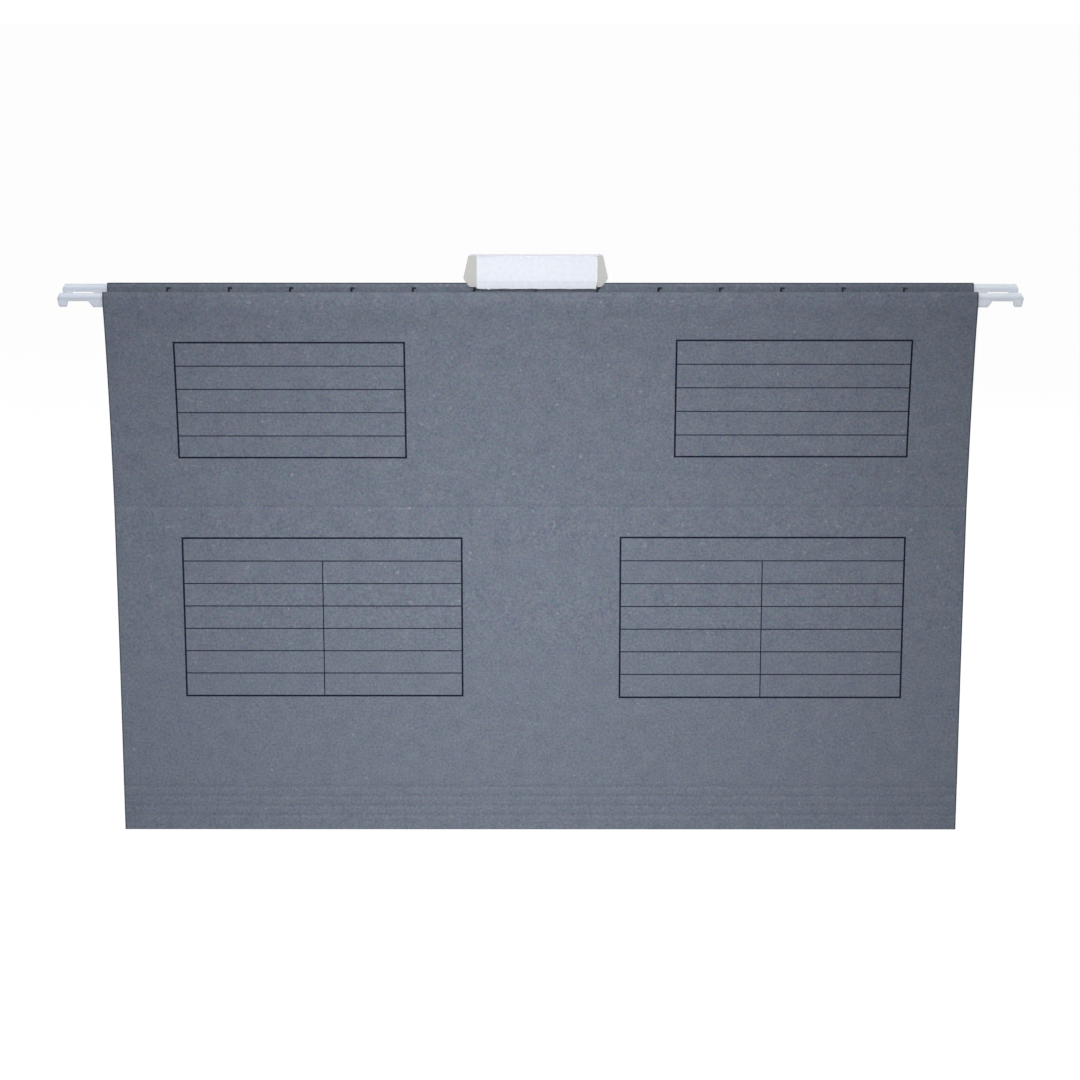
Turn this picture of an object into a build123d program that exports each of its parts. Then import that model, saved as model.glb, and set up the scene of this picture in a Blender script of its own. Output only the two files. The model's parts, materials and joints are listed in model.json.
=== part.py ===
"""Foolscap hanging file folder: a scored card sheet, two hook rails, an index tab and its label.

Millimetres. X runs along the rails, the front faces -Y and +Z is up. The origin is midway between
the two hook seats of the back rail, on the line that hangs on the cabinet's rails.
"""

import os
from math import cos, radians, sin

from build123d import *

os.makedirs("parts", exist_ok=True)

# Card sheet, with heights measured up the card from the bottom fold
rail_spacing = 388.0  # between the middles of the cabinet's two rails
hook_overhang = 10.5  # from the sheet's edge to the middle of a hook's notch
panel_drop = 245.0  # bottom fold to hem top
card = 0.35  # card thickness
fold_gap = 0.6  # between the two halves of the base where they are folded together
front_lean = 0.8  # degrees that the lower front panel leans out from the back panel
upper_kink = 8.7  # degrees more that the upper front panel leans

# Score lines, the creases at which the card bends
first_score = 6.7  # lowest of the base creases
score_pitch = 4.4  # from one base crease to the next
middle_score = 147.5  # crease across the front panel
score_width = 0.9
score_depth = 0.12
score_gap = 0.2  # between the card on the two sides of a crease that turns

# Hook rail, with heights measured down from the rail's top
rail_thickness = 2.2  # over the round bead along the top
bead_height = 2.1
web_thickness = 1.6
web_edge_radius = 0.4
rail_height = 6.1
arm_height = 3.3  # hook arm above the seat
notch_width = 8.9  # seat of the hook
notch_flare = 2.0  # slope of the notch's inner side
notch_radius = 0.5
tip_width = 4.1  # hook tip, from the notch to its outer edge
tip_taper = 0.6  # the tip narrows towards its lower end
tip_rise = 0.3  # the tip stops this far above the rail's lower edge
tip_radius = 0.8
corner_run = 1.1  # bevel on the hook's upper outer corner
corner_drop = 2.1

# Hem, with heights measured down from the hem's top
hem_clearance = 0.1  # between the rail and the card
flap_taper = 5.0  # slope of the flap from the rail back to the panel
flap_lap = 10.2  # flap that lies on the panel
glue = 0.1  # adhesive layer
glue_margin = 1.0  # bare card above and below the adhesive
glue_end_margin = 8.0  # bare card at the two ends of the adhesive

# Slits for the index tab, in the flap of each hem
slit_pitch = 26.0
slit_end_margin = 25.0  # least card beyond the outermost slit
slit_row_shift = -2.0  # the row is off centre, to the left as seen from inside the pocket
slit_top = 1.65  # below the hem's top
slit_drop = 4.15  # slit below the rail
slit_margin = 0.1  # flat flap below the slits
slit_width = 0.9
slit_nub = 1.0  # short side cut at the top of each slit

# Index tab, with heights measured up from the hem's top
tab_wall = 0.45
tab_sleeve = 0.5  # space for the label between the two walls
tab_seat_clearance = 0.15  # between the tab and the flap
tab_fold_radius = 0.6  # outer edges of the sleeve
tab_rise = 12.55  # top edge of the sleeve
tab_drop = 3.15  # the sleeve's floor is this far below
ear_height = 2.3  # widest part of the ears
ear_drop = 1.25  # the ears' lower end is this far below
neck_margin = 0.7  # neck beyond the prongs
ear_flare = 3.95  # ears beyond the neck
ear_taper = 2.3  # the ears narrow towards the top edge
ear_undercut = 2.7  # the ears narrow towards their lower end
tab_corner_radius = 1.5
prong_thickness = 0.6
prong_height = 1.6
prong_clearance = 0.35  # above the lower end of the slit
prong_reach = 1.4  # behind the flap
prong_lead = 0.4  # bevel on the prong's end
tab_foot_margin = 0.2  # neck below the prongs
slits_spanned = 2  # slit pitches between the two prongs

# Label insert
label_width = 51.0
label_thickness = 0.2
label_clearance = 0.25  # above and below, in the sleeve
label_shift = 0.5  # along the sleeve

# Places that follow from the sizes above
sheet_width = rail_spacing - 2 * hook_overhang
narrow_scores = (first_score, first_score + score_pitch)  # spare creases for a narrower base
base_score = first_score + 2 * score_pitch  # crease that squares the base
swing_score = first_score + 3 * score_pitch  # crease that the front panel swings on
hem_radius = rail_thickness / 2 + hem_clearance + card
hem_thickness = 2 * hem_radius
hem_top = arm_height + hem_clearance + card
rail_inset = hem_clearance + card
upper_drop = panel_drop - middle_score
back_face = hem_radius
front_face = back_face - 2 * card - fold_gap
bottom = hem_top - panel_drop
hook_reach = rail_spacing / 2 + notch_width / 2 + tip_width
slit_length = rail_inset + rail_height + slit_drop - slit_top
slit_count = 2 * int((sheet_width / 2 - slit_end_margin) / slit_pitch) + 1
flap_knee = slit_top + slit_length + slit_margin
flap_foot = flap_knee + flap_taper
flap_end = flap_foot + flap_lap
tab_depth = 2 * tab_wall + tab_sleeve
tab_back = back_face - hem_thickness - tab_seat_clearance
tab_top = hem_top + tab_rise
tab_floor = hem_top - tab_drop
prong_low = hem_top - slit_top - slit_length + prong_clearance
prong_end = back_face - hem_thickness + card + prong_reach
prong_offset = slit_pitch * slits_spanned / 2
tab_foot = prong_low - tab_foot_margin
neck_half_width = prong_offset + neck_margin
ear_half_width = neck_half_width + ear_flare
sleeve_height = tab_top - tab_floor - 2 * tab_wall
label_height = sleeve_height - 2 * label_clearance


def section_plane(face, height, lean):
    """Plane across the card: x goes from the outer face into the pocket, y goes up the card."""
    turn = radians(lean)
    return Plane(origin=(0, face, height), x_dir=(0, cos(turn), sin(turn)), z_dir=(1, 0, 0))


def inside_plane(section, depth):
    """Plane along the card, at a depth from its outer face, as seen from inside the pocket."""
    origin = section.from_local_coords(Vector(depth, 0, 0))
    return Plane(origin=origin, x_dir=-section.z_dir, z_dir=section.x_dir)


back_section = Plane(origin=(0, back_face, bottom), x_dir=(0, -1, 0), z_dir=(-1, 0, 0))
front_section = section_plane(front_face, bottom, front_lean)
crease = front_section.from_local_coords(Vector(0, middle_score, 0))
upper_section = section_plane(crease.Y, crease.Z, front_lean + upper_kink)
tab_plane = Plane(origin=(slit_row_shift, tab_back, 0), x_dir=(1, 0, 0), z_dir=(0, -1, 0))


def strip_profile(low, high):
    """Flat card between two creases, with a small gap left at each."""
    with BuildSketch() as profile:
        with Locations((card / 2, (low + high) / 2)):
            Rectangle(card, high - low - score_gap)
    return profile.sketch


def groove_profile(*scores):
    """Pressed grooves of creases, in the outer face of the card."""
    with BuildSketch() as profile:
        with Locations(*[(0, score) for score in scores]):
            Polygon((0, -score_width / 2), (score_depth, 0), (0, score_width / 2), align=None)
    return profile.sketch


def hem_profile(low, top):
    """Card from a crease up the outer face, round the rail and down the flap that is glued shut."""
    flap = 2 * card + glue
    with BuildSketch() as profile:
        with BuildLine():
            face = Line((0, low + score_gap / 2), (0, top - hem_radius))
            roll = RadiusArc(face @ 1, (hem_thickness, top - hem_radius), hem_radius)
            Polyline(
                roll @ 1,
                (hem_thickness, top - flap_knee),
                (flap, top - flap_foot),
                (flap, top - flap_end),
            )
            offset(amount=card, side=Side.RIGHT, kind=Kind.INTERSECTION)
        make_face()
    return profile.sketch


def slit_profile(top):
    """Row of slits across a flap, each with a short side cut at its upper end."""
    with BuildSketch() as profile:
        with Locations((slit_row_shift, top - slit_top - slit_length / 2)):
            with GridLocations(slit_pitch, slit_length, slit_count, 1):
                Rectangle(slit_width, slit_length)
                with Locations(((slit_width + slit_nub) / 2, (slit_length - slit_width) / 2)):
                    Rectangle(slit_nub, slit_width)
    return profile.sketch


def glue_profile(top):
    """Adhesive between the panel and the foot of its flap."""
    high = top - flap_foot - glue_margin
    low = top - flap_end + glue_margin
    with BuildSketch() as profile:
        with Locations((card + glue / 2, (low + high) / 2)):
            Rectangle(glue, high - low)
    return profile.sketch


def rail_profile(top):
    """Section of a rail: a round bead along the top, and a thinner web with eased lower edges."""
    radius = rail_thickness / 2
    with BuildSketch() as profile:
        with Locations((hem_radius, top - radius)):
            Circle(radius)
        with Locations((hem_radius, top - (radius + bead_height) / 2)):
            Rectangle(rail_thickness, bead_height - radius)
        with Locations((hem_radius, top - (radius + rail_height) / 2)):
            Rectangle(web_thickness, rail_height - radius)
        fillet(profile.vertices().group_by(Axis.Y)[0], web_edge_radius)
    return profile.sketch


def hook_outline(top):
    """Front view of a rail with a hook at each end, drawn as one half and mirrored."""
    seat = top - arm_height
    low = top - rail_height
    tip_low = low + tip_rise
    notch_in = (rail_spacing - notch_width) / 2
    notch_out = (rail_spacing + notch_width) / 2
    with BuildSketch() as outline:
        with BuildLine():
            Polyline(
                (0, top),
                (hook_reach - corner_run, top),
                (hook_reach, top - corner_drop),
                (hook_reach - tip_taper, tip_low),
                (notch_out, tip_low),
                (notch_out, seat),
                (notch_in, seat),
                (notch_in - notch_flare, low),
                (0, low),
            )
            mirror(about=Plane.YZ)
        make_face()
        corners = outline.vertices().group_by(Axis.Y)
        tips, seats = corners[1], corners[2]
        fillet(tips, tip_radius)
        fillet(seats, notch_radius)
    return outline.sketch


# Back panel, from the crease that squares the base up to the glued hem
with BuildPart() as back_panel:
    with BuildSketch(back_section):
        add(hem_profile(base_score, panel_drop))
        add(groove_profile(base_score, swing_score), mode=Mode.SUBTRACT)
    extrude(amount=sheet_width / 2, both=True)
    with BuildSketch(inside_plane(back_section, hem_thickness)):
        add(slit_profile(panel_drop))
    extrude(amount=-card - hem_clearance / 2, mode=Mode.SUBTRACT)

back_panel.part.label = "back_panel"
export_step(back_panel.part, "parts/back_panel.step")

# Back half of the base
with BuildPart() as back_base:
    with BuildSketch(back_section):
        add(strip_profile(0, base_score))
        add(groove_profile(0, *narrow_scores, base_score), mode=Mode.SUBTRACT)
    extrude(amount=sheet_width / 2, both=True)

back_base.part.label = "back_base"
export_step(back_base.part, "parts/back_base.step")

# Front half of the base
with BuildPart() as front_base:
    with BuildSketch(front_section):
        add(strip_profile(0, base_score))
        add(groove_profile(0, *narrow_scores, base_score), mode=Mode.SUBTRACT)
    extrude(amount=sheet_width / 2, both=True)

front_base.part.label = "front_base"
export_step(front_base.part, "parts/front_base.step")

# Narrow front strip, which stands up when the base is squared
with BuildPart() as front_strip:
    with BuildSketch(front_section):
        add(strip_profile(base_score, swing_score))
        add(groove_profile(base_score, swing_score), mode=Mode.SUBTRACT)
    extrude(amount=sheet_width / 2, both=True)

front_strip.part.label = "front_strip"
export_step(front_strip.part, "parts/front_strip.step")

# Lower front panel
with BuildPart() as front_lower_panel:
    with BuildSketch(front_section):
        add(strip_profile(swing_score, middle_score))
        add(groove_profile(swing_score, middle_score), mode=Mode.SUBTRACT)
    extrude(amount=sheet_width / 2, both=True)

front_lower_panel.part.label = "front_lower_panel"
export_step(front_lower_panel.part, "parts/front_lower_panel.step")

# Upper front panel, from the middle crease up to the glued hem
with BuildPart() as front_upper_panel:
    with BuildSketch(upper_section):
        add(hem_profile(0, upper_drop))
        add(groove_profile(0), mode=Mode.SUBTRACT)
    extrude(amount=sheet_width / 2, both=True)
    with BuildSketch(inside_plane(upper_section, hem_thickness)):
        add(slit_profile(upper_drop))
    extrude(amount=-card - hem_clearance / 2, mode=Mode.SUBTRACT)

front_upper_panel.part.label = "front_upper_panel"
export_step(front_upper_panel.part, "parts/front_upper_panel.step")

# Back hem adhesive
with BuildPart() as back_hem_glue:
    with BuildSketch(back_section):
        add(glue_profile(panel_drop))
    extrude(amount=sheet_width / 2 - glue_end_margin, both=True)

back_hem_glue.part.label = "back_hem_glue"
export_step(back_hem_glue.part, "parts/back_hem_glue.step")

# Front hem adhesive
with BuildPart() as front_hem_glue:
    with BuildSketch(upper_section):
        add(glue_profile(upper_drop))
    extrude(amount=sheet_width / 2 - glue_end_margin, both=True)

front_hem_glue.part.label = "front_hem_glue"
export_step(front_hem_glue.part, "parts/front_hem_glue.step")

# Back rail, a drawn runner with its hooks cut at the two ends
with BuildPart() as back_rail:
    with BuildSketch(back_section):
        add(rail_profile(panel_drop - rail_inset))
    extrude(amount=hook_reach, both=True)
    with BuildSketch(inside_plane(back_section, hem_radius)):
        add(hook_outline(panel_drop - rail_inset))
    extrude(amount=rail_thickness, both=True, mode=Mode.INTERSECT)

back_rail.part.label = "back_rail"
export_step(back_rail.part, "parts/back_rail.step")

# Front rail
with BuildPart() as front_rail:
    with BuildSketch(upper_section):
        add(rail_profile(upper_drop - rail_inset))
    extrude(amount=hook_reach, both=True)
    with BuildSketch(inside_plane(upper_section, hem_radius)):
        add(hook_outline(upper_drop - rail_inset))
    extrude(amount=rail_thickness, both=True, mode=Mode.INTERSECT)

front_rail.part.label = "front_rail"
export_step(front_rail.part, "parts/front_rail.step")

# Index tab: an extruded clear sleeve, cut to its eared outline, with two prongs in the slits
with BuildPart() as index_tab:
    with BuildSketch(Plane.YZ.offset(slit_row_shift)) as sleeve:
        with Locations((tab_back - tab_depth / 2, (tab_top + tab_floor) / 2)):
            Rectangle(tab_depth, tab_top - tab_floor)
        fillet(sleeve.vertices(), tab_fold_radius)
        with Locations((tab_back - tab_wall / 2, (tab_floor + tab_fold_radius + tab_foot) / 2)):
            Rectangle(tab_wall, tab_floor + tab_fold_radius - tab_foot)
        with Locations((tab_back - tab_depth / 2, (tab_top + tab_floor) / 2)):
            Rectangle(tab_sleeve, sleeve_height, mode=Mode.SUBTRACT)
    extrude(amount=ear_half_width, both=True)
    with BuildSketch(tab_plane) as tab_outline:
        with BuildLine():
            Polyline(
                (0, tab_top),
                (ear_half_width - ear_taper, tab_top),
                (ear_half_width, hem_top + ear_height),
                (ear_half_width - ear_undercut, hem_top - ear_drop),
                (neck_half_width, hem_top - ear_drop),
                (neck_half_width, tab_foot),
                (0, tab_foot),
            )
            mirror(about=Plane.YZ)
        make_face()
        foot, ear_feet, ear_middles, top = tab_outline.vertices().group_by(Axis.Y)
        across = ear_feet.group_by(Axis.X)
        fillet(foot + across[0] + across[-1] + ear_middles + top, tab_corner_radius)
    extrude(amount=tab_depth + prong_reach, both=True, mode=Mode.INTERSECT)
    for side in (-1, 1):
        with BuildSketch(Plane.YZ.offset(slit_row_shift + side * prong_offset)) as prong:
            root = tab_back - tab_wall / 2
            with Locations(((root + prong_end) / 2, prong_low + prong_height / 2)):
                Rectangle(prong_end - root, prong_height)
            chamfer(prong.vertices().group_by(Axis.X)[-1], prong_lead)
        extrude(amount=prong_thickness / 2, both=True)

index_tab.part.label = "index_tab"
export_step(index_tab.part, "parts/index_tab.step")

# Label insert, loose in the sleeve
with BuildPart() as label_insert:
    with BuildSketch(tab_plane.offset(tab_depth / 2)):
        with Locations((label_shift, (tab_top + tab_floor) / 2)):
            Rectangle(label_width, label_height)
    extrude(amount=label_thickness / 2, both=True)

label_insert.part.label = "label_insert"
export_step(label_insert.part, "parts/label_insert.step")
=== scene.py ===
import json
import math

import bmesh
import bpy
from mathutils import Matrix, Vector


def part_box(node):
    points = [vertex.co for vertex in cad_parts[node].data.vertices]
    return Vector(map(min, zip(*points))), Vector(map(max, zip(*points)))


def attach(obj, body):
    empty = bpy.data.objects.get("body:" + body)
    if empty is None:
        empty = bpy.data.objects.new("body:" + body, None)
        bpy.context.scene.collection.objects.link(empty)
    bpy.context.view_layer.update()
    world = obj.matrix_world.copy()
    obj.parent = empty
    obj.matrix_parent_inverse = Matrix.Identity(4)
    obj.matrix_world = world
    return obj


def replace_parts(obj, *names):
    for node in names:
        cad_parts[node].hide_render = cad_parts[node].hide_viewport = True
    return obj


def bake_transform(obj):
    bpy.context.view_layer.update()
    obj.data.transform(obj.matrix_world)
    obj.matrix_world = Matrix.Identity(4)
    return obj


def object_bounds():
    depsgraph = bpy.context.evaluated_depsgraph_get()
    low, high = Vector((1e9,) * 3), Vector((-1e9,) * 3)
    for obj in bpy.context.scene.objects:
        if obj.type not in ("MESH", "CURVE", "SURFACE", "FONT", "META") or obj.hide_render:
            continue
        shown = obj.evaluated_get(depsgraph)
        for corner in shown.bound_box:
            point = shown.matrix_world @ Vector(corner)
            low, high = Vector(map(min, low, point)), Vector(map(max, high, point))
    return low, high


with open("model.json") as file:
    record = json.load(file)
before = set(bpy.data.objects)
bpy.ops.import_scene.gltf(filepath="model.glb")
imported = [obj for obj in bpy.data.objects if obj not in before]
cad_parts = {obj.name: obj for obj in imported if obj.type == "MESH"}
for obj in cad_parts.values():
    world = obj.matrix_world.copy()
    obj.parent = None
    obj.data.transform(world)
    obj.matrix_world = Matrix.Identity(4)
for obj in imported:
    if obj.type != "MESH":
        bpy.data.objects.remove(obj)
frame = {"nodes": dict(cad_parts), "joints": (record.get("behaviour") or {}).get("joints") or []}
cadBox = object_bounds()
pivots = {joint["name"]: Vector(joint["pos_m"]) for joint in frame["joints"] if "pos_m" in joint}
lowBack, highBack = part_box("back_panel")
sheetWidth = highBack.x - lowBack.x
lowLabel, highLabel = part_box("label_insert")
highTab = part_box("index_tab")[1]
labelMiddle = (lowLabel.x + highLabel.x) / 2
labelReach = (highLabel.x - lowLabel.x) / 2


def mm(size):
    return size / 1000


nearby = mm(0.01)  # places this close count as one


def linear(code):
    # sRGB hex to the linear colour that sockets take
    parts = [int(code[i:i + 2], 16) / 255 for i in (1, 3, 5)]
    return (*[p / 12.92 if p <= 0.04045 else ((p + 0.055) / 1.055) ** 2.4 for p in parts], 1)


def addNode(tree, kind, inputs=None, **settings):
    node = tree.nodes.new(kind)
    for name, value in settings.items():
        setattr(node, name, value)
    for name, value in (inputs or {}).items():
        if isinstance(value, bpy.types.NodeSocket):
            tree.links.new(value, node.inputs[name])
        else:
            node.inputs[name].default_value = value
    return node


def setRamp(node, *stops):
    # stops are (position, hex colour)
    ramp = node.color_ramp
    while len(ramp.elements) < len(stops):
        ramp.elements.new(1)
    for element, (position, code) in zip(ramp.elements, stops):
        element.position = position
        element.color = linear(code)


def addTones(tree, vector, scale, detail, tones):
    # tones are the stops of a ramp over noise
    noise = addNode(tree, "ShaderNodeTexNoise", {"Vector": vector, "Scale": scale, "Detail": detail})
    ramp = addNode(tree, "ShaderNodeValToRGB", {"Fac": noise.outputs["Fac"]})
    setRamp(ramp, *tones)
    return noise.outputs["Fac"], ramp.outputs["Color"]


def newMaterial(name):
    material = bpy.data.materials.new(name)
    material.use_nodes = True
    tree = material.node_tree
    return material, tree, tree.nodes["Principled BSDF"]


def perMetre(size):
    # texture scale whose pattern repeats about every so many millimetres
    return 1000 / size


# Recycled manila card, calendered: matt and finely mottled, with tinted fibres and pale and dark specks
cardLook = {
    "colour": "#707783",
    "grain": 0.95, "cloud": 7.0, "tint": 1.3,  # mm, drawn coarser than real fibre so that it shows
    "grainDepth": 0.1, "cloudDepth": 0.027, "tintDepth": 0.042,
    "pale": "#A9ABAE", "paleSpacing": 2.3, "dark": "#59606E", "darkSpacing": 1.9,
    "speckStart": 0.66, "speckFull": 0.78, "speckDepth": 0.5,
    # Painted shade: the edge colour darkens the faces along the cut sides and the back hem's crown
    "edge": "#2F3641", "edgeShadeWidth": 0.65,  # mm of the faces along the cut sides that are painted darker, as shade
    "crownShade": 0.4,  # mm of the back hem's crown that is painted darker, as shade
    "shadeDepth": 0.8,
    "roughness": 0.82, "specular": 0.3, "bump": 0.12, "bumpHeight": 0.06,
}


def makeCardMaterial():
    look = cardLook
    material, tree, shader = newMaterial("recycledManilaCard")
    place = addNode(tree, "ShaderNodeTexCoord").outputs["Object"]
    grain = addNode(tree, "ShaderNodeTexNoise", {
        "Vector": place, "Scale": perMetre(look["grain"]), "Detail": 2, "Roughness": 0.7})
    cloud = addNode(tree, "ShaderNodeTexNoise", {
        "Vector": place, "Scale": perMetre(look["cloud"]), "Detail": 2})
    tint = addNode(tree, "ShaderNodeTexNoise", {
        "Vector": place, "Scale": perMetre(look["tint"]), "Detail": 1, "Roughness": 0.6})
    colour = linear(look["colour"])
    for noise, output, depth in (
            (grain, "Fac", "grainDepth"), (cloud, "Fac", "cloudDepth"), (tint, "Color", "tintDepth")):
        layer = addNode(
            tree, "ShaderNodeMix", {"Factor": look[depth], 6: colour, 7: noise.outputs[output]},
            data_type="RGBA", blend_type="LINEAR_LIGHT")
        colour = layer.outputs[2]
    # specks are the peaks of their own noise
    for code, spacing in ((look["pale"], look["paleSpacing"]), (look["dark"], look["darkSpacing"])):
        specks = addNode(tree, "ShaderNodeTexNoise", {
            "Vector": place, "Scale": perMetre(spacing), "Detail": 2, "Roughness": 0.6})
        strength = addNode(tree, "ShaderNodeMapRange", {
            "Value": specks.outputs["Fac"], "From Min": look["speckStart"],
            "From Max": look["speckFull"], "To Max": look["speckDepth"]})
        layer = addNode(tree, "ShaderNodeMix", {
            "Factor": strength.outputs["Result"], 6: colour, 7: linear(code)}, data_type="RGBA")
        colour = layer.outputs[2]
    across = addNode(tree, "ShaderNodeSeparateXYZ", {"Vector": place})
    out = addNode(tree, "ShaderNodeMath", {0: across.outputs["X"]}, operation="ABSOLUTE")
    # painted shade along the cut sides and on the back hem's crown
    rimShade = addNode(tree, "ShaderNodeMapRange", {
        "Value": out.outputs[0], "From Min": sheetWidth / 2 - mm(look["edgeShadeWidth"]),
        "From Max": sheetWidth / 2 - mm(look["edgeShadeWidth"]) / 2, "To Max": look["shadeDepth"]})
    crownShade = addNode(tree, "ShaderNodeMapRange", {
        "Value": across.outputs["Z"], "From Min": highBack.z - mm(look["crownShade"]),
        "From Max": highBack.z - mm(look["crownShade"]) / 2, "To Max": look["shadeDepth"]})
    # the painted shade lies on the faces, and the cut itself keeps the card's colour
    normal = addNode(tree, "ShaderNodeNewGeometry").outputs["True Normal"]
    turn = addNode(tree, "ShaderNodeSeparateXYZ", {"Vector": normal})
    sideways = addNode(tree, "ShaderNodeMath", {0: turn.outputs["X"]}, operation="ABSOLUTE")
    face = addNode(tree, "ShaderNodeMath", {0: sideways.outputs[0], 1: 0.5}, operation="LESS_THAN")
    line = addNode(tree, "ShaderNodeMath", {
        0: rimShade.outputs["Result"], 1: face.outputs[0]}, operation="MULTIPLY")
    paintedShade = addNode(tree, "ShaderNodeMath", {
        0: line.outputs[0], 1: crownShade.outputs["Result"]}, operation="MAXIMUM")
    layer = addNode(tree, "ShaderNodeMix", {
        "Factor": paintedShade.outputs[0], 6: colour, 7: linear(look["edge"])}, data_type="RGBA")
    tree.links.new(layer.outputs[2], shader.inputs["Base Color"])
    bump = addNode(tree, "ShaderNodeBump", {
        "Height": grain.outputs["Fac"], "Strength": look["bump"], "Distance": mm(look["bumpHeight"])})
    tree.links.new(bump.outputs["Normal"], shader.inputs["Normal"])
    shader.inputs["Roughness"].default_value = look["roughness"]
    shader.inputs["Specular IOR Level"].default_value = look["specular"]
    return material


# Offset ink soaked into the card: almost black, broken a little by the fibre
inkLook = {"tones": [(0.4, "#141827"), (0.72, "#222738")], "grain": 0.9, "roughness": 0.8, "specular": 0.12}


def makeInkMaterial():
    look = inkLook
    material, tree, shader = newMaterial("offsetInk")
    place = addNode(tree, "ShaderNodeTexCoord").outputs["Object"]
    tone = addTones(tree, place, perMetre(look["grain"]), 3, look["tones"])[1]
    tree.links.new(tone, shader.inputs["Base Color"])
    shader.inputs["Roughness"].default_value = look["roughness"]
    shader.inputs["Specular IOR Level"].default_value = look["specular"]
    return material


# Natural polypropylene runner: waxy, milky and bluish, with shade painted dark on it inside the hem, where
# the slits show it
railLook = {
    "tones": [(0.3, "#F0F4FF"), (0.7, "#F8FBFF")],
    "flow": (14.0, 1.5, 1.5),  # mm, drawn out along the rail
    "milk": 0.8, "glow": 1.5,  # share of light that enters the plastic, and the millimetres it spreads
    "paintedHemShade": "#3A3F47", "hemShadeStart": 2.0,  # mm inside the hem where the painted shade begins
    "roughness": 0.45, "ior": 1.49, "bump": 0.05, "bumpHeight": 0.1,
}


def makeRailMaterial():
    look = railLook
    material, tree, shader = newMaterial("milkyPolypropylene")
    place = addNode(tree, "ShaderNodeTexCoord").outputs["Object"]
    stretch = addNode(tree, "ShaderNodeMapping", {
        "Vector": place, "Scale": [perMetre(size) for size in look["flow"]]})
    flow, tone = addTones(tree, stretch.outputs["Vector"], 1, 2, look["tones"])
    across = addNode(tree, "ShaderNodeSeparateXYZ", {"Vector": place})
    out = addNode(tree, "ShaderNodeMath", {0: across.outputs["X"]}, operation="ABSOLUTE")
    # painted shade: the runner is drawn dark inside the hem
    paintedHemShade = addNode(tree, "ShaderNodeMath", {
        0: out.outputs[0], 1: sheetWidth / 2 - mm(look["hemShadeStart"])}, operation="LESS_THAN")
    layer = addNode(tree, "ShaderNodeMix", {
        "Factor": paintedHemShade.outputs[0], 6: tone, 7: linear(look["paintedHemShade"])}, data_type="RGBA")
    tree.links.new(layer.outputs[2], shader.inputs["Base Color"])
    bump = addNode(tree, "ShaderNodeBump", {
        "Height": flow, "Strength": look["bump"], "Distance": mm(look["bumpHeight"])})
    tree.links.new(bump.outputs["Normal"], shader.inputs["Normal"])
    shader.inputs["Roughness"].default_value = look["roughness"]
    shader.inputs["IOR"].default_value = look["ior"]
    shader.inputs["Subsurface Weight"].default_value = look["milk"]
    shader.inputs["Subsurface Radius"].default_value = (1, 1, 1)
    shader.inputs["Subsurface Scale"].default_value = mm(look["glow"])
    return material


# Clear PVC sheet, heat folded: glossy and water-clear over the label, frosted grey at the pressed ears
tabLook = {
    "window": "#FDFDFC", "ear": "#D6D6D0", "shadow": "#FFFFFE",
    "earDrop": 1.3, "earClear": 0.12,  # mm of the ears below the hem's top, and what light passes them
    "earBlur": 0.2,  # mm past the label
    "fold": "#E2E0EE", "floor": "#C0C4CD",  # the upper fold is tinted violet, and the lower fold is painted darker as shade under the label
    "foldHeight": 0.7, "foldMargin": 0.05,
    "roughness": 0.06, "ior": 1.53, "wave": 22.0, "bump": 0.1, "bumpHeight": 0.4,
}


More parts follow.
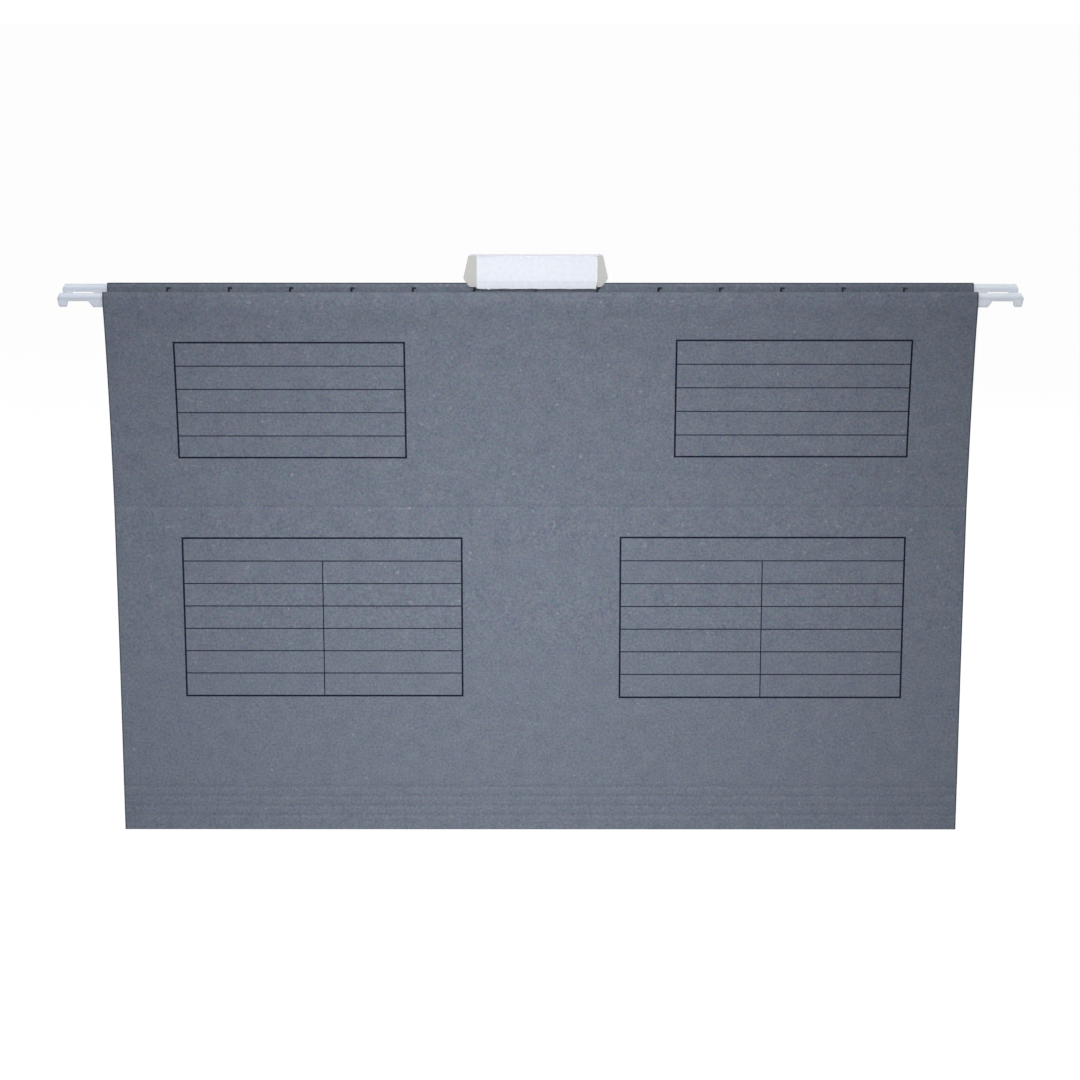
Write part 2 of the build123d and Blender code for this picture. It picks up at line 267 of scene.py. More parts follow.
def makeTabMaterial():
    look = tabLook
    material, tree, shader = newMaterial("clearPvcSheet")
    place = addNode(tree, "ShaderNodeTexCoord").outputs["Object"]
    wave = addNode(tree, "ShaderNodeTexNoise", {
        "Vector": place, "Scale": perMetre(look["wave"]), "Detail": 1})
    bump = addNode(tree, "ShaderNodeBump", {
        "Height": wave.outputs["Fac"], "Strength": look["bump"], "Distance": mm(look["bumpHeight"])})
    tree.links.new(bump.outputs["Normal"], shader.inputs["Normal"])
    # the greyer ends start just past the label
    centre = addNode(tree, "ShaderNodeMapping", {"Vector": place, "Location": (-labelMiddle, 0, 0)})
    across = addNode(tree, "ShaderNodeSeparateXYZ", {"Vector": centre.outputs["Vector"]})
    out = addNode(tree, "ShaderNodeMath", {0: across.outputs["X"]}, operation="ABSOLUTE")
    beyond = addNode(tree, "ShaderNodeMapRange", {
        "Value": out.outputs[0], "From Min": labelReach, "From Max": labelReach + mm(look["earBlur"])})
    above = addNode(tree, "ShaderNodeMath", {
        0: across.outputs["Z"], 1: highBack.z - mm(look["earDrop"])}, operation="GREATER_THAN")
    share = addNode(tree, "ShaderNodeMath", {
        0: beyond.outputs["Result"], 1: above.outputs[0]}, operation="MULTIPLY")
    tone = addNode(tree, "ShaderNodeValToRGB", {"Fac": share.outputs[0]})
    setRamp(tone, (0, look["window"]), (1, look["ear"]))
    # a band along each folded edge, as far above the label's middle as below it
    middle = (lowLabel.z + highLabel.z) / 2
    raised = addNode(tree, "ShaderNodeMath", {0: across.outputs["Z"], 1: middle}, operation="SUBTRACT")
    off = addNode(tree, "ShaderNodeMath", {0: raised.outputs[0]}, operation="ABSOLUTE")
    fold = addNode(tree, "ShaderNodeMapRange", {
        "Value": off.outputs[0], "From Min": highTab.z - mm(look["foldHeight"]) - middle,
        "From Max": highTab.z - mm(look["foldHeight"]) / 2 - middle})
    within = addNode(tree, "ShaderNodeMath", {
        0: off.outputs[0], 1: highTab.z + mm(look["foldMargin"]) - middle}, operation="LESS_THAN")
    band = addNode(tree, "ShaderNodeMath", {
        0: fold.outputs["Result"], 1: within.outputs[0]}, operation="MULTIPLY")
    upper = addNode(tree, "ShaderNodeMath", {0: raised.outputs[0], 1: 0}, operation="GREATER_THAN")
    # the lower band is painted shade under the label, and the upper band a violet tint
    edge = addNode(tree, "ShaderNodeMix", {
        "Factor": upper.outputs[0], 6: linear(look["floor"]), 7: linear(look["fold"])}, data_type="RGBA")
    folded = addNode(tree, "ShaderNodeMix", {
        "Factor": band.outputs[0], 6: tone.outputs["Color"], 7: edge.outputs[2]}, data_type="RGBA")
    tree.links.new(folded.outputs[2], shader.inputs["Base Color"])
    shader.inputs["Roughness"].default_value = look["roughness"]
    shader.inputs["IOR"].default_value = look["ior"]
    clear = addNode(tree, "ShaderNodeMapRange", {
        "Value": share.outputs[0], "To Min": 1, "To Max": look["earClear"]})
    tree.links.new(clear.outputs["Result"], shader.inputs["Transmission Weight"])
    # lamps reach the label through the clear walls
    path = addNode(tree, "ShaderNodeLightPath")
    through = addNode(tree, "ShaderNodeBsdfTransparent", {"Color": linear(look["shadow"])})
    passed = addNode(tree, "ShaderNodeMath", {
        0: path.outputs["Is Shadow Ray"], 1: clear.outputs["Result"]}, operation="MULTIPLY")
    mixed = addNode(tree, "ShaderNodeMixShader", {
        0: passed.outputs[0], 1: shader.outputs["BSDF"], 2: through.outputs["BSDF"]})
    tree.links.new(mixed.outputs["Shader"], tree.nodes["Material Output"].inputs["Surface"])
    return material


# Uncoated bond paper, cut by hand: matt, cool white and very faintly mottled
labelLook = {
    "tones": [(0.35, "#F0F4FF"), (0.65, "#F8FBFF")], "grain": 1.4,
    "roughness": 0.75, "bump": 0.06, "bumpHeight": 0.05,
}


def makeLabelMaterial():
    look = labelLook
    material, tree, shader = newMaterial("whiteBondPaper")
    place = addNode(tree, "ShaderNodeTexCoord").outputs["Object"]
    grain, tone = addTones(tree, place, perMetre(look["grain"]), 3, look["tones"])
    tree.links.new(tone, shader.inputs["Base Color"])
    bump = addNode(tree, "ShaderNodeBump", {
        "Height": grain, "Strength": look["bump"], "Distance": mm(look["bumpHeight"])})
    tree.links.new(bump.outputs["Normal"], shader.inputs["Normal"])
    shader.inputs["Roughness"].default_value = look["roughness"]
    return material


# Dried hot-melt glue line inside the hems: pale amber and waxy
glueLook = {"tones": [(0.35, "#CFC7B2"), (0.65, "#DDD8C8")], "bead": 4.0, "roughness": 0.45}


def makeGlueMaterial():
    look = glueLook
    material, tree, shader = newMaterial("driedHotMelt")
    place = addNode(tree, "ShaderNodeTexCoord").outputs["Object"]
    tone = addTones(tree, place, perMetre(look["bead"]), 2, look["tones"])[1]
    tree.links.new(tone, shader.inputs["Base Color"])
    shader.inputs["Roughness"].default_value = look["roughness"]
    return material


cardMaterial = makeCardMaterial()
inkMaterial = makeInkMaterial()
railMaterial = makeRailMaterial()
tabMaterial = makeTabMaterial()
labelMaterial = makeLabelMaterial()
glueMaterial = makeGlueMaterial()
print("materials made")


def makePiece(name, bm, material, sharpAngle=13):
    mesh = bpy.data.meshes.new(name)
    bm.to_mesh(mesh)
    bm.free()
    mesh.materials.append(material)
    mesh.shade_smooth()
    mesh.set_sharp_from_angle(angle=math.radians(sharpAngle))
    piece = bpy.data.objects.new(name, mesh)
    bpy.context.scene.collection.objects.link(piece)
    return piece


# Card sheet, with heights measured up the card from the bottom fold, as in the solids
sheet = {
    "thickness": mm(0.35),
    "scores": [mm(6.7), mm(11.1), mm(15.5), mm(19.9)],
    "grooveWidth": mm(2.7), "grooveDepth": mm(0.22), "support": mm(0.25),
    # shares of the groove's width and depth
    "groove": [(-0.5, 0), (-0.3, 0.42), (-0.1, 0.95), (0.1, 0.95), (0.3, 0.42), (0.5, 0)],
    "bend": mm(0.8),  # half the card that curves when a crease turns
    "hemRadius": mm(1.55), "kneeDrop": mm(10.8), "footDrop": mm(15.8), "flapDrop": mm(26.0),
    "footDepth": mm(0.8),  # from the panel's outer face to the glued flap's pocket side
    "rollSteps": 16,
    # the front bows into the pocket between its creases, and the rail holds the last stretch straight
    "lowerBow": mm(0.8), "upperBow": mm(2.0), "railHold": mm(7.0), "bowSteps": 24,
    # the card springs out a little under the rail: millimetres below the hem's top, and millimetres out
    "spring": [(17, 0), (16, 0), (13, 0.08), (9.5, 0.27), (6.5, 0.42), (4.2, 0.4), (2.6, 0.24), (1.55, 0)],
}
slits = {
    "count": 13, "pitch": mm(26), "middle": mm(2), "top": mm(1.65), "length": mm(9.05),
    "width": mm(0.9), "nub": mm(1.0), "snap": mm(0.001),
    "nubSide": -1,  # to the right as seen from inside the pocket
}


def panelFrame(foot, leanAngle, facing):
    # panel space: x along the rails, y up the card, z out of its outer face
    turn = Matrix.Rotation(math.radians(90), 4, "X")
    lean = Matrix.Rotation(leanAngle, 4, "X")
    side = Matrix.Rotation(math.radians(180), 4, "Z") if facing == "back" else Matrix.Identity(4)
    return Matrix.Translation(foot) @ side @ lean @ turn


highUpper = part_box("front_upper_panel")[1]
foldFoot = pivots["bottom_fold"]
backFoot = Vector((0, highBack.y, foldFoot.z))
frontFoot = Vector((0, 2 * foldFoot.y - highBack.y, foldFoot.z))
middleCrease = pivots["upper_fold"]
lowerLean = math.atan2(frontFoot.y - middleCrease.y, middleCrease.z - frontFoot.z)
middleHeight = (middleCrease - frontFoot).length
dropHeight = highBack.z - foldFoot.z
upperHeight = dropHeight - middleHeight


def upperLeanFrom(height, reach):
    # the hem's top is a round roll, so its highest point gives the lean
    radius = sheet["hemRadius"]
    lean = 0
    for _ in range(20):  # more than enough rounds to settle
        lean = math.acos((reach - radius - radius * math.sin(lean)) / (height - radius))
    return lean


upperLean = upperLeanFrom(upperHeight, highUpper.z - middleCrease.z)
backPanel = panelFrame(backFoot, 0, "back")
lowerPanel = panelFrame(frontFoot, lowerLean, "front")
upperPanel = panelFrame(middleCrease, upperLean, "front")
print("front leans", round(math.degrees(lowerLean), 2), "and", round(math.degrees(upperLean), 2), "degrees")


firstScore, secondScore, baseScore, swingScore = sheet["scores"]
foldSeam = (firstScore + secondScore) / 2
stripSeam = (baseScore + swingScore) / 2
panelSeam = swingScore + (swingScore - stripSeam)


def bowDepth(panel, height):
    if panel is upperPanel:
        low, high, sag = 0, upperHeight - sheet["railHold"], sheet["upperBow"]
    elif panel is lowerPanel:
        low, high, sag = panelSeam, middleHeight, sheet["lowerBow"]
    else:
        return 0
    share = min(1, max(0, (height - low) / (high - low)))
    return 4 * sag * share * (1 - share)


def onCard(panel, x, height, out):
    return panel @ Vector((x, height, out - bowDepth(panel, height)))


def drawLine(bm, start, points):
    for point in points:
        nextVert = bm.verts.new(point)
        if start:
            bm.edges.new((start, nextVert))
        start = nextVert
    return start


def drawArc(bm, start, centre, angle, steps):
    spun = bmesh.ops.spin(bm, geom=[start], cent=centre, axis=(1, 0, 0), angle=angle, steps=steps)
    return [item for item in spun["geom_last"] if isinstance(item, bmesh.types.BMVert)][0]


def facePoints(panel, low, high, scores):
    # points up the outer face from low to high, dipping into each pressed groove
    points = [(0, low, 0)]
    half = sheet["grooveWidth"] / 2
    for score in sorted(scores):
        points.append((0, score - half - sheet["support"], 0))
        for along, depth in sheet["groove"]:
            points.append((0, score + along * sheet["grooveWidth"], -depth * sheet["grooveDepth"]))
        points.append((0, score + half + sheet["support"], 0))
    points.append((0, high, 0))
    return [onCard(panel, *point) for point in points]


def bowPoints(panel, low, high):
    steps = sheet["bowSteps"]
    return [onCard(panel, 0, low + (high - low) * i / steps, 0) for i in range(steps + 1)]


def springPoints(panel, top):
    return [onCard(panel, 0, top - mm(drop), mm(out)) for drop, out in sheet["spring"]]


def drawHem(bm, panel, start, top):
    # round the rail and down the flap that is glued to the panel
    radius = sheet["hemRadius"]
    centre = panel @ Vector((0, top - radius, -radius))
    turn = math.pi if panel is backPanel else -math.pi
    end = drawArc(bm, start, centre, turn, sheet["rollSteps"])
    straight = [top - radius - sheet["support"], top - sheet["kneeDrop"]]
    footMiddle = (sheet["footDrop"] + sheet["flapDrop"]) / 2
    foot = [top - sheet["footDrop"], top - footMiddle, top - sheet["flapDrop"]]
    flap = [panel @ Vector((0, height, -2 * radius)) for height in straight]
    flap += [onCard(panel, 0, height, -sheet["footDepth"]) for height in foot]
    return drawLine(bm, end, flap)


def drawOut(bm, width=sheetWidth):
    # draws the profile out to a width
    bmesh.ops.translate(bm, verts=bm.verts[:], vec=(-width / 2, 0, 0))
    drawn = bmesh.ops.extrude_edge_only(bm, edges=bm.edges[:])
    moved = [item for item in drawn["geom"] if isinstance(item, bmesh.types.BMVert)]
    bmesh.ops.translate(bm, verts=moved, vec=(width, 0, 0))


def flapFaces(bm, panel):
    away = panel.inverted()
    depth = 2 * sheet["hemRadius"]
    return [face for face in bm.faces
            if abs((away @ face.calc_center_median()).z + depth) < nearby]


def cutFlap(bm, panel, point, normal):
    faces = flapFaces(bm, panel)
    geom = faces + list({edge for face in faces for edge in face.edges})
    geom += list({vert for face in faces for vert in face.verts})
    bmesh.ops.bisect_plane(
        bm, geom=geom, dist=slits["snap"], plane_co=panel @ Vector(point),
        plane_no=panel.to_3x3() @ Vector(normal))


def cutSlits(bm, panel, top):
    # each slit has a short side cut at its upper end
    half = slits["width"] / 2
    high = top - slits["top"]
    low = high - slits["length"]
    nubLow = high - slits["width"]
    last = slits["count"] - 1
    centres = [slits["middle"] + (i - last / 2) * slits["pitch"] for i in range(slits["count"])]
    for height in (high, nubLow, low):
        cutFlap(bm, panel, (0, height, 0), (0, 1, 0))
    nubSide = slits["nubSide"]
    for centre in centres:
        for side in (-half, half, nubSide * (half + slits["nub"])):
            cutFlap(bm, panel, (centre + side, 0, 0), (1, 0, 0))
    away = panel.inverted()
    gone = []
    for face in flapFaces(bm, panel):
        spot = away @ face.calc_center_median()
        for centre in centres:
            across = (spot.x - centre) * nubSide
            inSlit = abs(across) < half and low < spot.y < high
            inNub = half < across < half + slits["nub"] and nubLow < spot.y < high
            if inSlit or inNub:
                gone.append(face)
    bmesh.ops.delete(bm, geom=gone, context="FACES")


def thicken(bm, panel, outside, thickness=sheet["thickness"]):
    # card grows inwards from its outer face
    face = min(bm.faces, key=lambda f: (f.calc_center_median() - outside).length)
    outward = panel.to_3x3() @ Vector((0, 0, 1))
    bmesh.ops.recalc_face_normals(bm, faces=bm.faces[:])
    if face.normal.dot(outward) < 0:
        bmesh.ops.reverse_faces(bm, faces=bm.faces[:])
    bmesh.ops.solidify(bm, geom=bm.faces[:], thickness=thickness)


def blendAcross(piece):
    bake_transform(piece)


def makeBackSheet():
    bm = bmesh.new()
    points = facePoints(backPanel, foldSeam, dropHeight / 2, [secondScore, baseScore, swingScore])
    top = drawLine(bm, None, points + springPoints(backPanel, dropHeight))
    drawHem(bm, backPanel, top, dropHeight)
    drawOut(bm)
    cutSlits(bm, backPanel, dropHeight)
    thicken(bm, backPanel, backPanel @ Vector((0, dropHeight / 2, 0)))
    piece = makePiece("back_sheet", bm, cardMaterial)
    blendAcross(piece)
    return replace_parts(piece, "back_panel")


def makeBaseFold():
    bm = bmesh.new()
    radius = (backFoot.y - frontFoot.y) / 2
    rollEnd = radius + sheet["support"]
    down = facePoints(backPanel, rollEnd, foldSeam, [firstScore])[::-1]
    foot = drawLine(bm, None, down + [backPanel @ Vector((0, radius, 0))])
    end = drawArc(bm, foot, foldFoot + Vector((0, 0, radius)), -math.pi + lowerLean, sheet["rollSteps"])
    drawLine(bm, end, facePoints(lowerPanel, rollEnd, foldSeam, [firstScore]))
    drawOut(bm)
    thicken(bm, backPanel, backPanel @ Vector((0, foldSeam, 0)))
    piece = makePiece("base_fold", bm, cardMaterial)
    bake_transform(piece)
    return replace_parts(piece, "back_base", "front_base")


def makeFrontStrip(name, low, high, scores):
    bm = bmesh.new()
    drawLine(bm, None, facePoints(lowerPanel, low, high, scores))
    drawOut(bm)
    thicken(bm, lowerPanel, lowerPanel @ Vector((0, low, 0)))
    piece = makePiece(name, bm, cardMaterial)
    blendAcross(piece)
    return piece


def makeFrontSheet():
    # the middle score is where the two panels of the front meet at their kink
    bm = bmesh.new()
    half = sheet["grooveWidth"] / 2
    reach = half + sheet["support"]
    springStart = upperHeight - mm(sheet["spring"][0][0])
    points = bowPoints(lowerPanel, panelSeam, middleHeight - reach)
    for along, depth in sheet["groove"]:
        up, out = along * sheet["grooveWidth"], -depth * sheet["grooveDepth"]
        if along < 0:
            points.append(onCard(lowerPanel, 0, middleHeight + up, out))
        else:
            points.append(onCard(upperPanel, 0, up, out))
    points += bowPoints(upperPanel, reach, springStart)[:-1]
    top = drawLine(bm, None, points + springPoints(upperPanel, upperHeight))
    drawHem(bm, upperPanel, top, upperHeight)
    drawOut(bm)
    cutSlits(bm, upperPanel, upperHeight)
    thicken(bm, lowerPanel, lowerPanel @ Vector((0, middleHeight / 2, 0)))
    piece = makePiece("front_sheet", bm, cardMaterial)
    blendAcross(piece)
    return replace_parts(piece, "front_lower_panel", "front_upper_panel")


makeBackSheet()
makeBaseFold()
baseCrease = makeFrontStrip(
    "front_base_crease", foldSeam, stripSeam, [secondScore, baseScore])
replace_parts(baseCrease, "front_strip")
makeFrontStrip(
    "front_swing_crease", stripSeam, panelSeam, [swingScore])
makeFrontSheet()
print("card sheet made")

# Ruled boxes printed on the front, in millimetres along the line centres: top is up the card
ruling = {
    "outline": 0.78, "rule": 0.44, "ink": 0.03, "cuts": 3,
    "near": 1,  # well under any row or column
}
ruledBoxes = [
    {"name": "ruled_box_upper_left", "left": -154.7, "top": 222.4, "width": 97.2,
     "pitch": 10.65, "rows": 5, "last": 9.7},
    {"name": "ruled_box_upper_right", "left": 57.5, "top": 223.5, "width": 99.3,
     "pitch": 10.8, "rows": 5, "last": 9.7},
    {"name": "ruled_box_lower_left", "left": -154.6, "top": 133.4, "width": 120.6,
     "pitch": 10.17, "rows": 7, "last": 10.17},
    {"name": "ruled_box_lower_right", "left": 34.6, "top": 133.7, "width": 122.8,
     "pitch": 10.32, "rows": 7, "last": 10.32},
]


def makeRuledBox(box):
    outline, rule, near = mm(ruling["outline"]), mm(ruling["rule"]), mm(ruling["near"])
    width, height = mm(box["width"]) - (outline - rule), mm(box["pitch"] * box["rows"])
    upper = mm(box["top"]) - height > middleHeight
    panel = upperPanel if upper else lowerPanel
    topLeft = Vector((mm(box["left"]), mm(box["top"]) - (middleHeight if upper else 0), 0))
    bm = bmesh.new()
    bmesh.ops.create_grid(bm, x_segments=1 if upper else 2, y_segments=box["rows"], size=0.5)
    bmesh.ops.scale(bm, verts=bm.verts[:], vec=(width, height, 1))
    lowest = [vert for vert in bm.verts if vert.co.y < -height / 2 + near]
    bmesh.ops.translate(bm, verts=lowest, vec=(0, mm(box["pitch"] - box["last"]), 0))
    if not upper:
        # the heading row is not divided
        inner = [edge for edge in bm.edges if not edge.is_boundary]
        divider = [edge for edge in inner if all(abs(vert.co.x) < near for vert in edge.verts)]
        topEdge = max(divider, key=lambda edge: edge.verts[0].co.y + edge.verts[1].co.y)
        bmesh.ops.dissolve_edges(bm, edges=[topEdge], use_verts=False)
    cells = bm.faces[:]
    border = bmesh.ops.extrude_edge_only(bm, edges=[edge for edge in bm.edges if edge.is_boundary])
    moved = [item for item in border["geom"] if isinstance(item, bmesh.types.BMVert)]
    grow = 2 * (outline - rule / 2)
    bmesh.ops.scale(bm, verts=moved, vec=(1 + grow / width, 1 + grow / height, 1))
    bmesh.ops.inset_individual(bm, faces=cells, thickness=rule / 2, use_even_offset=True)
    bmesh.ops.delete(bm, geom=cells, context="FACES_ONLY")
    bmesh.ops.recalc_face_normals(bm, faces=bm.faces[:])
    if bm.faces[:][0].normal.z > 0:
        bmesh.ops.reverse_faces(bm, faces=bm.faces[:])
    bmesh.ops.translate(bm, verts=bm.verts[:], vec=topLeft + Vector((mm(box["width"]), -height, 0)) / 2)
    upright = [edge for edge in bm.edges if abs(edge.verts[0].co.y - edge.verts[1].co.y) > 2 * near]
    bmesh.ops.subdivide_edges(bm, edges=upright, cuts=ruling["cuts"], use_grid_fill=True)
    bmesh.ops.solidify(bm, geom=bm.faces[:], thickness=mm(ruling["ink"]))
    for vert in bm.verts:
        vert.co = onCard(panel, *vert.co)
    piece = makePiece(box["name"], bm, inkMaterial)
    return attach(piece, "front_upper" if upper else "front_lower")


for box in ruledBoxes:
    makeRuledBox(box)
print("ruled boxes made")

# Paper label, trimmed by hand: its right and lower edges wander, with a small burr at the lower left
labelCut = {
    "columns": 68, "rows": 14, "sharp": 30,
    "rightWander": 0.26, "rightPeriods": [2.9, 5.3],  # millimetres from here on
    "lowerWander": 0.1, "lowerPeriods": [6.1, 11.7], "lowerTrim": 0.2,
    "burr": 1.0, "burrPlace": 5.2, "burrWidth": 0.6,
}


def wander(place, periods):
    return sum(math.sin(2 * math.pi * place / mm(period)) for period in periods) / len(periods)


def makeLabel():
    width, height = highLabel.x - lowLabel.x, highLabel.z - lowLabel.z
    bm = bmesh.new()
    bmesh.ops.create_grid(bm, x_segments=labelCut["columns"], y_segments=labelCut["rows"], size=0.5)
    bmesh.ops.scale(bm, verts=bm.verts[:], vec=(width, height, 1))
    edges = [vert for vert in bm.verts if vert.is_boundary]
    for vert in edges:
        if vert.co.x > width / 2 - nearby:
            vert.co.x += mm(labelCut["rightWander"]) * (wander(vert.co.y, labelCut["rightPeriods"]) - 1)
        if vert.co.y < -height / 2 + nearby:
            fromBurr = abs(vert.co.x + width / 2 - mm(labelCut["burrPlace"])) / mm(labelCut["burrWidth"])
            vert.co.y += mm(labelCut["lowerWander"]) * (1 - wander(vert.co.x, labelCut["lowerPeriods"]))
            vert.co.y += mm(labelCut["lowerTrim"])
            vert.co.y -= mm(labelCut["burr"]) * max(0, 1 - fromBurr) / 2
    stand = Matrix.Translation((lowLabel + highLabel) / 2) @ Matrix.Rotation(math.radians(90), 4, "X")
    thickness = highLabel.y - lowLabel.y
    bmesh.ops.translate(bm, verts=bm.verts[:], vec=(0, 0, thickness / 2))
    bmesh.ops.solidify(bm, geom=bm.faces[:], thickness=thickness)
    bmesh.ops.transform(bm, matrix=stand, verts=bm.verts[:])
    piece = makePiece("paper_label", bm, labelMaterial, labelCut["sharp"])
    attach(piece, "label")
    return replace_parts(piece, "label_insert")


makeLabel()
print("label made")

# Rails, with the edges that the mould leaves round
railEdges = {
    "round": mm(0.22), "segments": 3, "merge": mm(0.002),
    "flat": 1, "sharp": 28, "shading": 40,  # degrees between faces
}


def makeRail(nodeName, bodyName):
    bm = bmesh.new()
    bm.from_mesh(frame["nodes"][nodeName].data)
    bmesh.ops.remove_doubles(bm, verts=bm.verts[:], dist=railEdges["merge"])
    bmesh.ops.dissolve_limit(
        bm, angle_limit=math.radians(railEdges["flat"]), verts=bm.verts[:], edges=bm.edges[:])
    sharp = [edge for edge in bm.edges if edge.calc_face_angle(0) > math.radians(railEdges["sharp"])]
    bmesh.ops.bevel(
        bm, geom=sharp, offset=railEdges["round"], offset_type="OFFSET", affect="EDGES",
        segments=railEdges["segments"], profile=0.5, clamp_overlap=True, material=-1)
    piece = makePiece(
        nodeName.replace("rail", "runner"), bm, railMaterial, railEdges["shading"])
    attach(piece, bodyName)
    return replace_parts(piece, nodeName)


runners = [makeRail("back_rail", "back"), makeRail("front_rail", "front_upper")]
print("rails made")

# Glue line of the front hem, which follows the bow of its panel
glueLine = {"margin": mm(1), "thickness": mm(0.1), "steps": 4}


def makeFrontGlue():
    bm = bmesh.new()
    lowGlue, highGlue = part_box("front_hem_glue")
    high = upperHeight - sheet["footDrop"] - glueLine["margin"]
    low = upperHeight - sheet["flapDrop"] + glueLine["margin"]
    heights = [low + (high - low) * i / glueLine["steps"] for i in range(glueLine["steps"] + 1)]
    drawLine(bm, None, [onCard(upperPanel, 0, height, -sheet["thickness"]) for height in heights])
    drawOut(bm, highGlue.x - lowGlue.x)
    thicken(bm, upperPanel, onCard(upperPanel, 0, low, 0), glueLine["thickness"])
    piece = makePiece("front_glue_line", bm, glueMaterial)
    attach(piece, "front_upper")
    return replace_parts(piece, "front_hem_glue")


makeFrontGlue()

# Carried-over solids get their finish
for nodeName, material in (("index_tab", tabMaterial), ("back_hem_glue", glueMaterial)):
    mesh = frame["nodes"][nodeName].data
    mesh.materials.clear()
    mesh.materials.append(material)
print("glue and tab finished")

# Stage: a pale floor below the hanging folder, and a white surround
stageSet = {
    "floorDrop": 0.24, "floorSize": 12.0,  # metres
    "floorColour": "#4C4D4E", "floorRoughness": 0.9, "floorGlow": 0.965,
    "ambient": 0.2,
}


def seenByCamera(tree):
    # 1 where the camera sees the stage, also mirrored or through clear sheet, and 0 where it only lights
    path = addNode(tree, "ShaderNodeLightPath")
    seen = addNode(tree, "ShaderNodeMath", {
        0: path.outputs["Is Camera Ray"], 1: path.outputs["Is Glossy Ray"]}, operation="MAXIMUM")
    seen = addNode(tree, "ShaderNodeMath", {
        0: seen.outputs[0], 1: path.outputs["Is Transmission Ray"]}, operation="MAXIMUM")
    direct = addNode(tree, "ShaderNodeMath", {
        0: path.outputs["Diffuse Depth"], 1: 0.5}, operation="LESS_THAN")
    seen = addNode(tree, "ShaderNodeMath", {
        0: seen.outputs[0], 1: direct.outputs[0]}, operation="MULTIPLY")
    return seen.outputs[0]


def makeFloor():
    bm = bmesh.new()
    bmesh.ops.create_grid(bm, x_segments=1, y_segments=1, size=stageSet["floorSize"] / 2)
    bmesh.ops.translate(bm, verts=bm.verts[:], vec=(0, 0, cadBox[0].z - stageSet["floorDrop"]))
    mesh = bpy.data.meshes.new("floor")
    bm.to_mesh(mesh)
    bm.free()
    floor = bpy.data.objects.new("floor", mesh)
    bpy.context.scene.collection.objects.link(floor)
    material, tree, shader = newMaterial("paleFloor")
    shader.inputs["Base Color"].default_value = linear(stageSet["floorColour"])
    shader.inputs["Roughness"].default_value = stageSet["floorRoughness"]
    shader.inputs["Specular IOR Level"].default_value = 0
    glow = addNode(tree, "ShaderNodeMapRange", {
        "Value": seenByCamera(tree), "To Min": stageSet["ambient"], "To Max": stageSet["floorGlow"]})
    shader.inputs["Emission Color"].default_value = (1, 1, 1, 1)
    tree.links.new(glow.outputs["Result"], shader.inputs["Emission Strength"])
    mesh.materials.append(material)


def makeWorld():
    world = bpy.data.worlds.new("whiteSurround")
    bpy.context.scene.world = world
    world.use_nodes = True
    tree = world.node_tree
    background = tree.nodes["Background"]
    strength = addNode(tree, "ShaderNodeMapRange", {
        "Value": seenByCamera(tree), "To Min": stageSet["ambient"], "To Max": 1})
    background.inputs["Color"].default_value = (1, 1, 1, 1)
    tree.links.new(strength.outputs["Result"], background.inputs["Strength"])


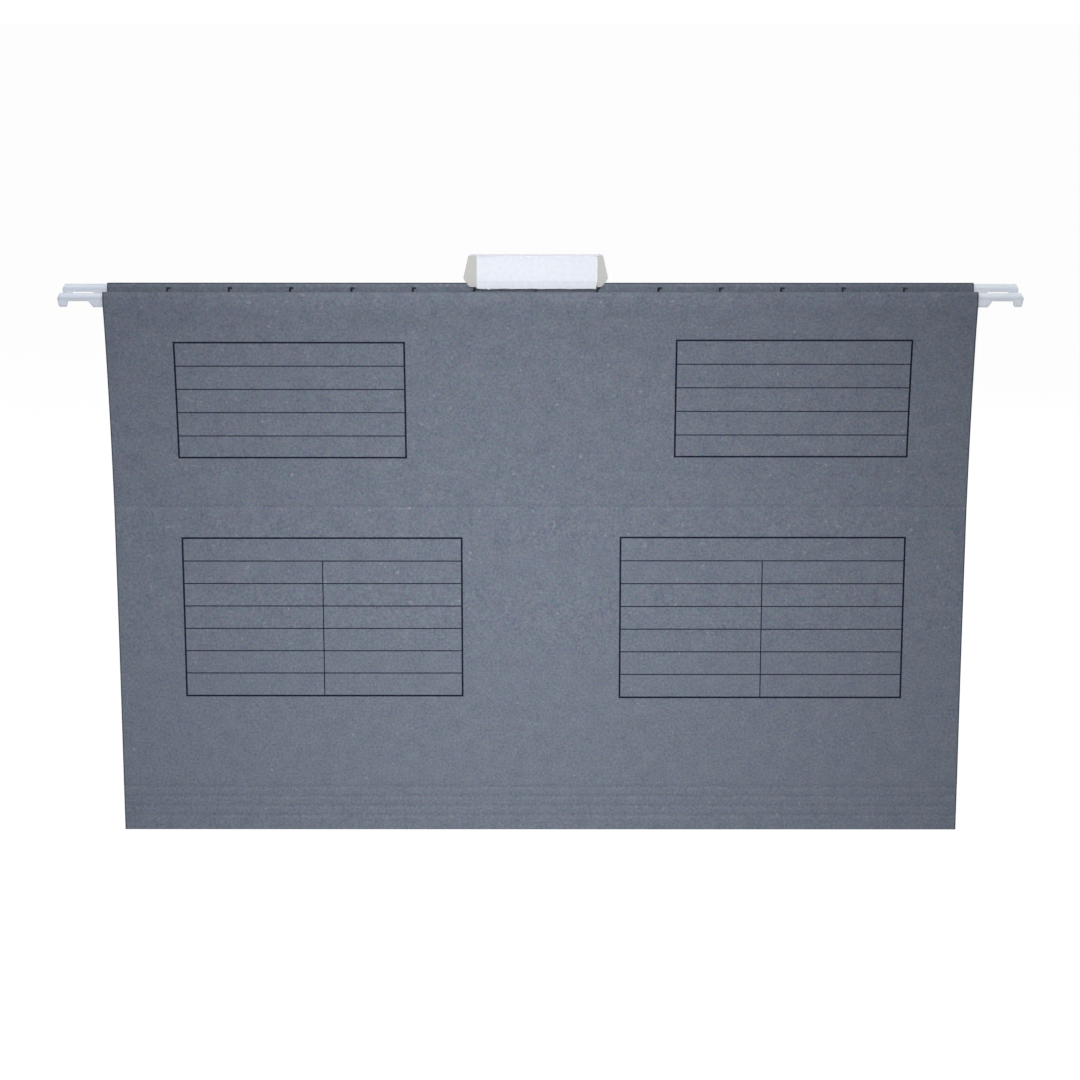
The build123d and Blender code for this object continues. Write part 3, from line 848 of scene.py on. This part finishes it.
# Lamps, in metres, watts and degrees
# The strip's narrow beam ends at the hooks, so the runners have a wider lamp of their own in its place
lamps = [
    {"name": "frontStrip", "place": (-0.02, -0.75, 0.18), "aim": (-0.015, 0, -0.185), "size": (0.1, 0.36),
     "power": 0.66, "spread": 55, "colour": "#FFFFFF", "mirrored": False, "runners": "EXCLUDE"},
    {"name": "hookFill", "place": (0.0, -1.2, 0.45), "aim": (0, 0, 0), "size": (0.6, 0.6),
     "power": 9.4, "spread": 180, "colour": "#EBF3FF", "mirrored": False, "runners": "INCLUDE"},
    {"name": "leftWindow", "place": (-0.85, -0.7, 0.15), "aim": (0, 0, -0.1), "size": (0.5, 0.5),
     "power": 0.75, "spread": 180, "colour": "#86A6FF", "mirrored": True, "runners": None},
    {"name": "topSoft", "place": (0.0, -0.02, 1.4), "aim": (0, -0.02, 0), "size": (1.2, 0.8),
     "power": 2.5, "spread": 180, "colour": "#FFFFFF", "mirrored": True, "runners": None},
    {"name": "backFill", "place": (0.6, 1.6, 0.6), "aim": (0, 0, -0.1), "size": (1.0, 1.0),
     "power": 22.0, "spread": 180, "colour": "#FFFFFF", "mirrored": False, "runners": None},
]


def linkRunners(holder, state):
    receivers = bpy.data.collections.new(holder.name + "Receivers")
    for runner in runners:
        receivers.objects.link(runner)
    for item in receivers.collection_objects:
        item.light_linking.link_state = state
    holder.light_linking.receiver_collection = receivers


def makeLamp(lamp):
    light = bpy.data.lights.new(lamp["name"], "AREA")
    light.shape = "RECTANGLE"
    light.size, light.size_y = lamp["size"]
    light.energy = lamp["power"]
    light.spread = math.radians(lamp["spread"])
    light.color = linear(lamp["colour"])[:3]
    holder = bpy.data.objects.new(lamp["name"], light)
    bpy.context.scene.collection.objects.link(holder)
    holder.location = lamp["place"]
    beam = Vector(lamp["aim"]) - Vector(lamp["place"])
    holder.rotation_euler = beam.to_track_quat("-Z", "Y").to_euler()
    holder.visible_camera = False
    holder.visible_glossy = lamp["mirrored"]
    holder.visible_transmission = lamp["mirrored"]  # the clear sheet's gloss belongs to its glass
    if lamp["runners"]:
        linkRunners(holder, lamp["runners"])


# Camera at the photograph's angle: millimetres and degrees
view = {"place": (1.55, -1385.1, 249.5), "pitch": 14.505, "yaw": -0.071, "lens": 110.34, "sensor": 36}


def makeCamera():
    lens = bpy.data.cameras.new("photoView")
    lens.sensor_width = view["sensor"]
    lens.lens = view["lens"]
    camera = bpy.data.objects.new("photoView", lens)
    bpy.context.scene.collection.objects.link(camera)
    camera.location = [mm(part) for part in view["place"]]
    camera.rotation_euler = (math.radians(90 - view["pitch"]), 0, math.radians(-view["yaw"]))
    bpy.context.scene.camera = camera


makeFloor()
makeWorld()
for lamp in lamps:
    makeLamp(lamp)
makeCamera()
bpy.context.scene.view_settings.view_transform = "Standard"
print("stage, lamps and camera set")
